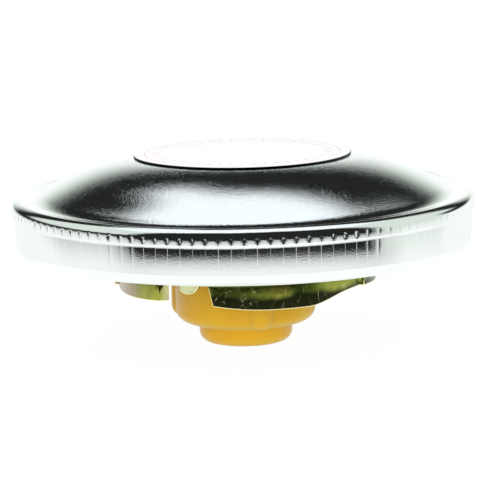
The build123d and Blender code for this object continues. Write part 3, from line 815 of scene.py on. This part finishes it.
# %% Sizes of the cover
cover_low, cover_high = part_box("cover")
cover_radius = cover_high.x
crown_z = cover_high.z
skirt_bottom_z = cover_low.z
sheet = 0.8 * mm
crown_flat = 22.0 * mm
dome_radius = 39.0 * mm
brim_z = crown_z - 7.25 * mm
brim_width = 4.8 * mm
foot_round = 4.6 * mm
edge_round = 1.75 * mm
edge_start = radians(5)
gutter_depth = 0.28 * mm
band_height = 1.35 * mm
band_lean = radians(1.8)
band_foot_lean = radians(5.8)
step_depth = 0.35 * mm
skirt_taper = 0.25 * mm
curl_round = 2.3 * mm
hem_width = 2.0 * mm
step_z = brim_z - edge_round - band_height
skirt_radius = cover_radius - step_depth
low_skirt_radius = skirt_radius - skirt_taper
curl_radius = low_skirt_radius - curl_round
hem_radius = curl_radius - hem_width
print("cover", round(2 * cover_radius / mm, 2), "mm across")

# %% Helpers that draw a section
def at(radius, height):
    """A point of the section."""
    return Vector((radius, 0, height))


def line(bm, start, *points):
    """Extrudes a vertex from point to point and returns the last one."""
    for point in points:
        start = bmesh.ops.extrude_vert_indiv(bm, verts=[start])["verts"][0]
        start.co = point
    return start


def arc(bm, start, centre, end, steps):
    """Spins a vertex round a centre in the section until it stands at the end."""
    first, second = start.co - centre, end - centre
    turn = atan2(first.z, first.x) - atan2(second.z, second.x)
    turn = (turn + pi) % (2 * pi) - pi
    spun = bmesh.ops.spin(bm, geom=[start], cent=centre, axis=(0, 1, 0), dvec=(0, 0, 0),
                          angle=turn, steps=steps, use_duplicate=False)
    return next(g for g in spun["geom_last"] if isinstance(g, bmesh.types.BMVert))


def round_corner(bm, corner, radius, steps=3):
    """Bevels a corner of the section to a radius."""
    ways = [edge.other_vert(corner).co - corner.co for edge in corner.link_edges]
    turn = pi - ways[0].angle(ways[1])
    bmesh.ops.bevel(bm, geom=[corner], offset=radius * tan(turn / 2), offset_type="OFFSET", segments=steps,
                    profile=0.5, affect="VERTICES", material=-1)


print("helpers: at, line, arc, round_corner")

# %% Find the centres of its arcs
# The dome's centre follows from its two ends, and the rounding at its foot
# touches both the dome and the brim.
crown_edge = at(crown_flat, crown_z)
gutter_z = brim_z - gutter_depth
dome_end = at(cover_radius - brim_width, gutter_z)
half_chord = (dome_end - crown_edge) / 2
inward = Vector((half_chord.z, 0, -half_chord.x)).normalized()
dome_centre = crown_edge + half_chord + inward * sqrt(dome_radius**2 - half_chord.length_squared)
foot_height = gutter_z + foot_round - dome_centre.z
foot_centre = at(dome_centre.x + sqrt((dome_radius + foot_round)**2 - foot_height**2), gutter_z + foot_round)
foot_way = (foot_centre - dome_centre).normalized()
crown_way = (crown_edge - dome_centre).normalized()
edge_centre = at(cover_radius - edge_round, brim_z - edge_round)
lean_way = Vector((cos(band_lean), 0, -sin(band_lean)))
foot_lean_way = Vector((cos(band_foot_lean), 0, -sin(band_foot_lean)))
lean_start = edge_centre + edge_round * lean_way
band_round = (lean_start.z - step_z) / (sin(band_foot_lean) - sin(band_lean))
band_centre = lean_start - band_round * lean_way
band_end = band_centre + band_round * foot_lean_way
skirt_height = step_z - skirt_bottom_z - curl_round
skirt_round = (skirt_height**2 + skirt_taper**2) / (2 * skirt_taper)
curl_centre = at(curl_radius, skirt_bottom_z + curl_round)
inner_corner = at(skirt_radius - edge_round, brim_z - edge_round)
print("dome centre", round(dome_centre.z / mm, 2), "mm up, band round", round(band_round / mm, 2), "mm")

# %% Draw the outside of the section
dome_steps, foot_steps, edge_steps, band_steps, skirt_steps, curl_steps = 28, 8, 18, 5, 10, 10
bm = bmesh.new()
v = line(bm, bm.verts.new(at(0, crown_z)), crown_edge)
v = arc(bm, v, dome_centre, dome_centre + foot_way * dome_radius, dome_steps)
v = arc(bm, v, foot_centre, foot_centre - at(0, foot_round), foot_steps)
v = line(bm, v, edge_centre + at(-edge_round * sin(edge_start), edge_round * cos(edge_start)))
v = arc(bm, v, edge_centre, lean_start, edge_steps)
band_lip = arc(bm, v, band_centre, band_end, band_steps)
step_root = line(bm, band_lip, at(skirt_radius, step_z))
skirt_foot = at(low_skirt_radius, curl_centre.z)
v = arc(bm, step_root, at(skirt_radius - skirt_round, step_z), skirt_foot, skirt_steps)
v = arc(bm, v, curl_centre, curl_centre - at(0, curl_round), curl_steps)
hem_edge = line(bm, v, at(hem_radius, skirt_bottom_z))
print("points outside:", len(bm.verts))

# %% Draw the inside and round the corners
inner_curl_steps, inner_edge_steps, inner_dome_steps = 6, 6, 8
hem_lip = line(bm, hem_edge, at(hem_radius, skirt_bottom_z + sheet))
v = line(bm, hem_lip, at(curl_radius, skirt_bottom_z + sheet))
v = arc(bm, v, curl_centre, at(low_skirt_radius - sheet, curl_centre.z), inner_curl_steps)
v = line(bm, v, at(skirt_radius - sheet, step_z), inner_corner + at(edge_round - sheet, 0))
v = arc(bm, v, inner_corner, inner_corner + at(0, edge_round - sheet), inner_edge_steps)
v = line(bm, v, at(foot_centre.x, brim_z - sheet))
v = line(bm, v, foot_centre - foot_way * (foot_round + sheet))
v = arc(bm, v, dome_centre, dome_centre + crown_way * (dome_radius - sheet), inner_dome_steps)
line(bm, v, at(0, v.co.z))
rounded = (band_lip, 0.05 * mm), (step_root, 0.06 * mm), (hem_edge, 0.3 * mm), (hem_lip, 0.3 * mm)
for corner, radius in rounded:
    round_corner(bm, corner, radius)
print("points in the section:", len(bm.verts))

# %% [markdown]
# The pleats are short nicks that the press leaves where the sheet gathers
# round its edge, one every three degrees, and each runs on as a faint line down
# the skirt. Cutting them with a boolean would take minutes. The turned section
# has five steps to each pleat, so it is enough to draw the middle three
# together and to press the middle one in, deepest at the band and fading out
# over the rounding above it.

# %% Turn the section
pleat_count = 120
steps_per_pleat = 5
turn_profile(bm, pleat_count * steps_per_pleat)
bmesh.ops.remove_doubles(bm, verts=bm.verts, dist=merge_distance)
print("points round the cover:", len(bm.verts))

# %% Choose the force of each pleat
# The press was a little weaker on the right, and a few traces are strong.
dice = random.Random(5)
faint_pleats, faint_share = range(10, 30), 0.4
pleat_force = [dice.uniform(0.55, 1.1) * (faint_share if pleat in faint_pleats else 1.0)
               for pleat in range(pleat_count)]
trace_force = [dice.uniform(0.3, 1.0) for pleat in range(pleat_count)]
for strong in (-11, -2, 9, 10, 11):
    trace_force[strong] = 1.5
print("pleat force from", round(min(pleat_force), 2), "to", round(max(pleat_force), 2))

# %% Press the pleats
pitch = 2 * pi / pleat_count
step = pitch / steps_per_pleat
pleat_half_width, trace_half_width = radians(0.3), radians(0.13)
spread_steps = 1.6
pleat_depth, trace_depth = 0.17 * mm, 0.008 * mm
pleat_top_z, pleat_run_in, trace_run_out = brim_z - 1.3 * mm, 0.5 * mm, 1.5 * mm
crease_shade_share, trace_dust = 0.55, 0.5
outer_wall = cover_radius - edge_round + sheet / 2
skirt_wall = low_skirt_radius - 0.1 * mm
on_band, below_step = step_z - 0.01 * mm, step_z - 0.2 * mm
crease = bm.verts.layers.float.new("crease")
scuff = bm.verts.layers.float.new("scuff")


def part_way(value, start, end):
    """How far a value is on its way from start to end, from 0 to 1."""
    return min(1.0, max(0.0, (value - start) / (end - start)))


for vert in bm.verts:
    x, y, z = vert.co
    radius = hypot(x, y)
    if radius < crown_flat / 2:
        continue
    azimuth = atan2(x, -y)
    pleat = round(azimuth / pitch)
    side = round((azimuth - pleat * pitch) / step)
    half_width = trace_half_width if z < below_step else pleat_half_width
    moved = (0, half_width, spread_steps * step)[abs(side)] * (1 if side > 0 else -1)
    azimuth = pleat * pitch + moved
    if side == 0 and radius > outer_wall:
        if z > on_band:
            force = pleat_force[pleat % pleat_count] * part_way(z, pleat_top_z, pleat_top_z - pleat_run_in)
            force *= part_way(z, step_z, step_z + band_height)
            radius -= pleat_depth * force
            # The crease mask paints shade into the nick, strongest where it is pressed deepest.
            vert[crease] = min(1.0, force * crease_shade_share)
        elif curl_centre.z < z and radius > skirt_wall:
            force = trace_force[pleat % pleat_count]
            run_out = part_way(z, curl_centre.z, curl_centre.z + trace_run_out)
            radius -= trace_depth * force * run_out
            vert[scuff] = trace_dust * min(1.0, force) * run_out
    vert.co = Vector((radius * sin(azimuth), -radius * cos(azimuth), z))
piece(bm, "cover_shell", chrome, "cap", "cover", sharp=32)

# %% [markdown]
# ### The plate on the crown
#
# The plate is thin stock with a slightly broken upper edge. It could be a
# bevelled cylinder. Turned from a section, in the same way as the cover, it gets
# a clean rim with no facets and a closed pole.

# %% The plate
plate_edge_round = 0.08 * mm
plate_steps = 240
bm = bmesh.new()
rim = line(bm, bm.verts.new(at(0, disc_high.z)), at(disc_radius, disc_high.z))
line(bm, rim, at(disc_radius, disc_low.z), at(0, disc_low.z))
round_corner(bm, rim, plate_edge_round)
turn_profile(bm, plate_steps)
piece(bm, "centre_plate", white_plate, "cap", "centre_disc")

# %% [markdown]
# ### Pressed and moulded edges
#
# The cam cup and the housing have the right form in the frame, down to the
# holes, but their edges are knife sharp. A real pressing has a rounded edge
# where it was bent and a burnished one where it was cut, and a moulding has the
# radius of its mould. Copies of both meshes are merged and their sharp edges
# bevelled. The bevel's own faces are marked, and the zinc finish reads the mark
# to paint a highlight on the cut edges.

# %% A copy with broken edges
# An edge stays sharp where one next to it is too short to leave room for the
# rounding.
flat_angle = radians(0.5)
room_share = 1.05


def broken_edges(node, radius, sharp, merge, steps=2):
    """A bmesh of a frame piece with its sharp edges bevelled and marked."""
    bm = bmesh.new()
    bm.from_mesh(nodes[node].data)
    bmesh.ops.remove_doubles(bm, verts=bm.verts, dist=merge)
    bmesh.ops.dissolve_limit(bm, angle_limit=flat_angle, verts=bm.verts, edges=bm.edges)
    mark = bm.faces.layers.float.new("edge")
    crisp = []
    for edge in bm.edges:
        if len(edge.link_faces) == 2 and edge.calc_face_angle() > radians(sharp):
            shortest = min(near.calc_length() for v in edge.verts for near in v.link_edges)
            if shortest > room_share * radius:
                crisp.append(edge)
    open_edges = sum(len(edge.link_faces) != 2 for edge in bm.edges)
    print(node, "sharp edges:", len(crisp), "open edges:", open_edges)
    cut = bmesh.ops.bevel(bm, geom=crisp, offset=radius, offset_type="OFFSET", segments=steps, profile=0.5,
                          affect="EDGES", material=-1, clamp_overlap=False)
    for face in cut["faces"]:
        face[mark] = 1.0
    return bm


# %% The cup and the housing
cup = broken_edges("cam_cup", radius=0.16 * mm, sharp=40, merge=0.07 * mm)
piece(cup, "cam_cup_pressing", yellow_zinc, "cap", "cam_cup", sharp=45)
housing = broken_edges("valve_housing", radius=0.12 * mm, sharp=40, merge=0.003 * mm)
piece(housing, "housing_moulding", amber, "cap", "valve_housing", sharp=45)

# %% [markdown]
# ### Copies of the springs
#
# One end of each spring stays where it is and the other follows the piece that
# it presses on, so the spring closes as that piece moves. Moving the whole
# spring would leave it hanging. A copy of each spring is made on the body
# that it moves with, its round wire is shaded smooth, and its reach from the
# fixed end is found.

# %% Copy the springs
spring_names = {
    "spring_disc": "sprung_ring", "pressure_spring": "pressure_coil", "vacuum_spring": "vacuum_coil",
}
behaviour = frame["record"]["behaviour"]
for joint in behaviour["joints"]:
    for spring in joint["deforming_nodes"]:
        node, fixed_z = spring["node"], spring["fixed_end_z_m"]
        body = next(name for name, members in behaviour["bodies"].items() if node in members)
        bm = bmesh.new()
        bm.from_mesh(nodes[node].data)
        made = piece(bm, spring_names[node], spring_steel, body, node, sharp=60)
        low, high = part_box(node)
        reach = max(high.z - fixed_z, fixed_z - low.z)
        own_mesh(made)
